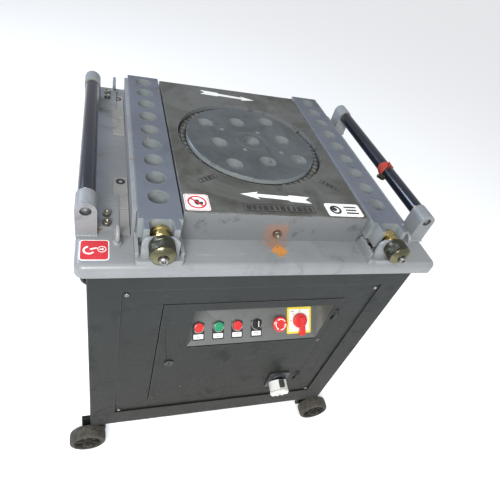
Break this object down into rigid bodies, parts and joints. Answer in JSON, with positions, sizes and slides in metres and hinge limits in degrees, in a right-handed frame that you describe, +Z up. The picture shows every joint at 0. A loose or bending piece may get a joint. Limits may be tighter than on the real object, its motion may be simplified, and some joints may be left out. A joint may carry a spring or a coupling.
{
  "type": "rebar bender",
  "caption": "Electric rebar bending machine: cabinet on wheels with a turning disc of pin holes, two adjustable pin rails, side rollers and a control door.",
  "frame": {"origin": "on the floor under the middle of the machine's overall box, 15.5 mm in front of the disc's axis", "axes": "+Z up, +X to the operator's right, +Y from the control door towards the back; the disc's axis is at X 0, Y 0.0155"},
  "size_m": [0.844, 0.721, 0.9039],
  "materials": {
    "grey_paint": "semi-gloss grey enamel, chipped on edges",
    "table_paint": "semi-gloss grey enamel, rubbed and scratched by bar",
    "machined_steel": "turned steel, worn and lightly rusted",
    "zinc_steel": "zinc-plated, dulled",
    "black_roller": "polished black steel",
    "bronze": "turned bronze, oily",
    "olive_knob": "olive-black knurled",
    "gear_steel": "hobbed, oiled",
    "cast_housing": "painted casting",
    "belt_rubber": "matt black",
    "tyre": "dusty grey-brown",
    "hub_iron": "painted, dusty",
    "black_plastic": "fine texture",
    "white_plastic": "slightly yellowed",
    "red_plastic": "smooth",
    "green_plastic": "smooth",
    "yellow_plastic": "smooth",
    "slate_plastic": "fine texture"
  },
  "bodies": {
    "frame": {"chassis": "grey_paint", "cabinet_shell": "grey_paint", "front_panel": "grey_paint", "service_covers": "grey_paint", "panel_screws": "zinc_steel", "cable_gland": "black_plastic", "table_pan": "table_paint", "work_table": "machined_steel", "cap_screws": "zinc_steel", "stop_dog": "machined_steel", "rail_channels": "table_paint", "adjuster_brackets": "table_paint", "hex_bolts": "zinc_steel", "roller_brackets": "table_paint", "roller_shafts": "machined_steel", "packing_strips": "table_paint", "lifting_eyes": "zinc_steel", "motor_housing": "cast_housing", "motor_plate": "grey_paint", "gearbox_housing": "cast_housing", "gearbox_lid": "cast_housing", "shaft_bearings": "gear_steel", "switchgear": "white_plastic", "drive_belts": "belt_rubber"},
    "turntable": {"turntable_disc": "machined_steel", "angle_ring": "machined_steel", "main_shaft": "gear_steel", "bull_gear": "gear_steel"},
    "lay_train": {"lay_shaft": "gear_steel", "lay_gear": "gear_steel"},
    "input_train": {"input_shaft": "gear_steel", "input_pulley": "cast_housing"},
    "motor_shaft": {"motor_rotor": "gear_steel", "motor_pulley": "cast_housing"},
    "left_rail": {"pin_rail_left": "table_paint"},
    "right_rail": {"pin_rail_right": "table_paint"},
    "left_screw": {"adjuster_screw_left": "bronze", "adjuster_knob_left": "olive_knob"},
    "right_screw": {"adjuster_screw_right": "bronze", "adjuster_knob_right": "olive_knob"},
    "left_roller": {"roller_left": "black_roller"},
    "right_roller": {"roller_right": "black_roller"},
    "wheel_fl": {"wheel_front_left": "tyre"},
    "wheel_fr": {"wheel_front_right": "tyre"},
    "wheel_rl": {"wheel_rear_left": "tyre"},
    "wheel_rr": {"wheel_rear_right": "tyre"},
    "door": {"control_door": "grey_paint", "control_recess": "grey_paint", "control_bezels": "black_plastic", "contact_blocks": "black_plastic", "isolator_plate": "yellow_plastic", "pedal_socket": "white_plastic"},
    "latch": {"door_latch": "zinc_steel"},
    "stop": {"stop_button": "red_plastic"},
    "start": {"start_button": "green_plastic"},
    "jog": {"jog_button": "red_plastic"},
    "selector": {"selector_knob": "black_plastic"},
    "emergency": {"emergency_stop": "red_plastic"},
    "isolator": {"isolator_handle": "red_plastic"},
    "lid": {"socket_lid": "slate_plastic"}
  },
  "joints": [
    {"name": "turntable_turn", "type": "hinge", "parent": "frame", "child": "turntable", "pos_m": [0, 0.0155, 0.898], "axis": [0, 0, 1], "continuous": true},
    {"name": "lay_turn", "type": "hinge", "parent": "frame", "child": "lay_train", "pos_m": [-0.16548, 0.14479, 0.7], "axis": [0, 0, 1], "continuous": true},
    {"name": "input_turn", "type": "hinge", "parent": "frame", "child": "input_train", "pos_m": [0.01178, 0.11353, 0.65], "axis": [0, 0, 1], "continuous": true},
    {"name": "motor_turn", "type": "hinge", "parent": "frame", "child": "motor_shaft", "pos_m": [0.22, -0.0045, 0.5], "axis": [0, 0, 1], "continuous": true},
    {"name": "left_screw_turn", "type": "hinge", "parent": "frame", "child": "left_screw", "pos_m": [-0.24, -0.3365, 0.875], "axis": [0, -1, 0], "range_deg": [0, 2161]},
    {"name": "left_rail_slide", "type": "slide", "parent": "frame", "child": "left_rail", "axis": [0, 1, 0], "range_m": [0, 0.015]},
    {"name": "left_roller_turn", "type": "hinge", "parent": "frame", "child": "left_roller", "pos_m": [-0.364, 0.0155, 0.8855], "axis": [0, 1, 0], "continuous": true},
    {"name": "right_screw_turn", "type": "hinge", "parent": "frame", "child": "right_screw", "pos_m": [0.24, -0.3365, 0.875], "axis": [0, -1, 0], "range_deg": [-1081, 1081]},
    {"name": "right_rail_slide", "type": "slide", "parent": "frame", "child": "right_rail", "axis": [0, 1, 0], "range_m": [-0.0075, 0.0075]},
    {"name": "right_roller_turn", "type": "hinge", "parent": "frame", "child": "right_roller", "pos_m": [0.364, 0.0155, 0.8855], "axis": [0, 1, 0], "continuous": true},
    {"name": "wheel_fl_turn", "type": "hinge", "parent": "frame", "child": "wheel_fl", "pos_m": [-0.372, -0.3015, 0.05], "axis": [0, 1, 0], "continuous": true},
    {"name": "wheel_fr_turn", "type": "hinge", "parent": "frame", "child": "wheel_fr", "pos_m": [0.372, -0.3015, 0.05], "axis": [0, 1, 0], "continuous": true},
    {"name": "wheel_rl_turn", "type": "hinge", "parent": "frame", "child": "wheel_rl", "pos_m": [-0.372, 0.3325, 0.05], "axis": [0, 1, 0], "continuous": true},
    {"name": "wheel_rr_turn", "type": "hinge", "parent": "frame", "child": "wheel_rr", "pos_m": [0.372, 0.3325, 0.05], "axis": [0, 1, 0], "continuous": true},
    {"name": "door_swing", "type": "hinge", "parent": "frame", "child": "door", "pos_m": [0.222, -0.2997, 0.455], "axis": [0, 0, 1], "range_deg": [0, 100]},
    {"name": "latch_turn", "type": "hinge", "parent": "door", "child": "latch", "pos_m": [-0.1775, -0.298, 0.439], "axis": [0, 1, 0], "range_deg": [0, 90]},
    {"name": "stop_press", "type": "slide", "parent": "door", "child": "stop", "axis": [0, 0.7071, -0.7071], "range_m": [0, 0.004], "stiffness_N_per_m": 400, "springref_m": -0.001},
    {"name": "start_press", "type": "slide", "parent": "door", "child": "start", "axis": [0, 0.7071, -0.7071], "range_m": [0, 0.004], "stiffness_N_per_m": 400, "springref_m": -0.001},
    {"name": "jog_press", "type": "slide", "parent": "door", "child": "jog", "axis": [0, 0.7071, -0.7071], "range_m": [0, 0.004], "stiffness_N_per_m": 400, "springref_m": -0.001},
    {"name": "emergency_press", "type": "slide", "parent": "door", "child": "emergency", "axis": [0, 0.7071, -0.7071], "range_m": [0, 0.005], "stiffness_N_per_m": 600, "springref_m": -0.001},
    {"name": "selector_turn", "type": "hinge", "parent": "door", "child": "selector", "pos_m": [0.038, -0.26406, 0.53694], "axis": [0, -0.7071, 0.7071], "range_deg": [-45, 45]},
    {"name": "isolator_turn", "type": "hinge", "parent": "door", "child": "isolator", "pos_m": [0.1585, -0.26123, 0.53977], "axis": [0, -0.7071, 0.7071], "range_deg": [0, 90]},
    {"name": "lid_open", "type": "hinge", "parent": "door", "child": "lid", "pos_m": [0.162, -0.34364, 0.31404], "axis": [-1, 0, 0], "range_deg": [0, 95], "stiffness_Nm_per_rad": 0.02, "springref_deg": -22.92}
  ],
  "couplings": [
    {"joint": "lay_turn", "follows": "turntable_turn", "ratio": -6},
    {"joint": "input_turn", "follows": "turntable_turn", "ratio": 30},
    {"joint": "motor_turn", "follows": "turntable_turn", "ratio": 96},
    {"joint": "left_screw_turn", "follows": "left_rail_slide", "rad_per_m": 2513.3},
    {"joint": "right_screw_turn", "follows": "right_rail_slide", "rad_per_m": 2513.3}
  ]
}
